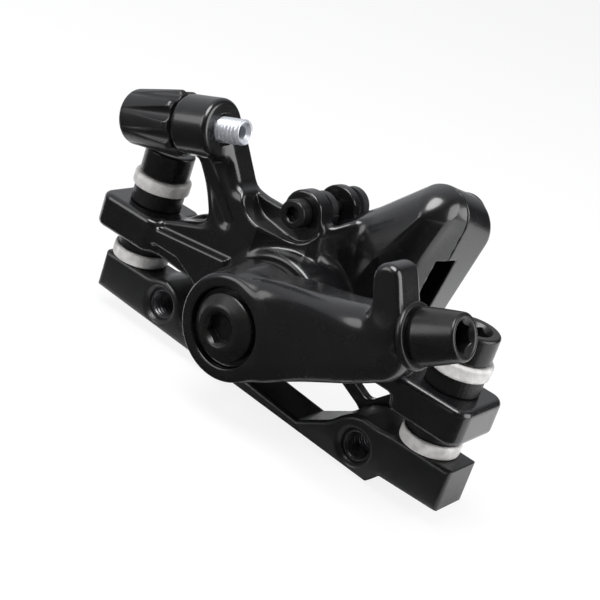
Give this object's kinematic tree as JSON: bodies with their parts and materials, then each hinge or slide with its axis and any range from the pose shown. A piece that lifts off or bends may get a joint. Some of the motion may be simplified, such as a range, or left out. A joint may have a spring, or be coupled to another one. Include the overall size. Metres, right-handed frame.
{
  "type": "bicycle disc brake caliper",
  "caption": "Cable-pulled disc brake caliper: two-piece black body on a post mount adapter, ball-ramp lever, pads on a pin, barrel adjuster.",
  "frame": {"origin": "where the actuator's axis crosses the rotor's mid-plane, at the pads' centre", "axes": "+X along the adapter towards the anchor end of the lever, +Y inboard to the wheel's hub side, +Z away from the frame's tabs; the rotor enters along -Z"},
  "size_m": [0.0915, 0.051, 0.0526],
  "materials": {
    "gloss_black_paint": "gloss black paint on cast alloy",
    "satin_black_coat": "satin black coat with a fine texture",
    "pale_alloy": "matt blasted alloy",
    "dark_washer_steel": "rough dark steel",
    "black_oxide_steel": "black oxide, slightly brown",
    "zinc_thread": "bright zinc plate",
    "black_plastic": "moulded black plastic",
    "dark_pad_steel": "dark pressed steel",
    "friction_lining": "rough friction compound",
    "spring_steel": "bare spring steel",
    "ground_steel": "ground steel",
    "bush_bronze": "sintered bronze",
    "black_rubber": "matt black rubber"
  },
  "bodies": {
    "root": {"mount_adapter": "satin_black_coat", "lower_cup_washers": "pale_alloy", "lower_ball_washers": "dark_washer_steel", "upper_ball_washers": "dark_washer_steel", "upper_cup_washers": "pale_alloy", "mount_bolts": "black_oxide_steel", "outboard_body": "gloss_black_paint", "inboard_body": "gloss_black_paint", "body_bolts": "black_oxide_steel", "pad_pin": "black_oxide_steel", "pin_clip": "spring_steel", "pad_spring": "spring_steel", "housing_bush": "bush_bronze", "ramp_plate": "ground_steel", "ramp_balls": "ground_steel", "dust_boot": "black_rubber", "return_spring": "spring_steel", "adjuster_detent": "spring_steel"},
    "pusher_set": {"pusher": "ground_steel", "thrust_washer": "ground_steel", "outboard_pad_plate": "dark_pad_steel", "outboard_pad_lining": "friction_lining"},
    "lever_set": {"actuator_lever": "gloss_black_paint", "lever_bolt": "black_oxide_steel", "anchor_bolt": "black_oxide_steel", "anchor_washer": "black_oxide_steel", "ramp_spindle": "ground_steel"},
    "barrel_screw": {"barrel_adjuster_screw": "zinc_thread"},
    "barrel_knob": {"barrel_adjuster_knob": "black_plastic"},
    "pad_seat": {"inboard_adjuster_seat": "ground_steel", "inboard_pad_plate": "dark_pad_steel", "inboard_pad_lining": "friction_lining"},
    "adjuster_dial": {"inboard_adjuster_dial": "black_plastic"}
  },
  "joints": [
    {"name": "pad_advance", "type": "slide", "parent": "root", "child": "pusher_set", "axis": [0, 1, 0], "range_m": [0, 0.0012]},
    {"name": "lever_turn", "type": "hinge", "parent": "pusher_set", "child": "lever_set", "pos_m": [0, 0, 0], "axis": [0, -1, 0], "range_deg": [0, 45], "stiffness_Nm_per_rad": 0.2, "springref_deg": -45.84},
    {"name": "barrel_travel", "type": "slide", "parent": "root", "child": "barrel_screw", "axis": [-0.9542, 0, -0.299], "range_m": [0, 0.003]},
    {"name": "barrel_turn", "type": "hinge", "parent": "barrel_screw", "child": "barrel_knob", "pos_m": [-0.033, -0.017, 0.02476], "axis": [-0.9542, 0, -0.299], "range_deg": [0, 1080]},
    {"name": "seat_travel", "type": "slide", "parent": "root", "child": "pad_seat", "axis": [0, -1, 0], "range_m": [0, 0.0012]},
    {"name": "dial_turn", "type": "hinge", "parent": "root", "child": "adjuster_dial", "pos_m": [0, 0.012, 0], "axis": [0, -1, 0], "range_deg": [0, 360]}
  ],
  "couplings": [
    {"joint": "lever_turn", "follows": "pad_advance", "rad_per_m": 654.5},
    {"joint": "barrel_turn", "follows": "barrel_travel", "rad_per_m": 6283.2},
    {"joint": "dial_turn", "follows": "seat_travel", "rad_per_m": 5236}
  ]
}
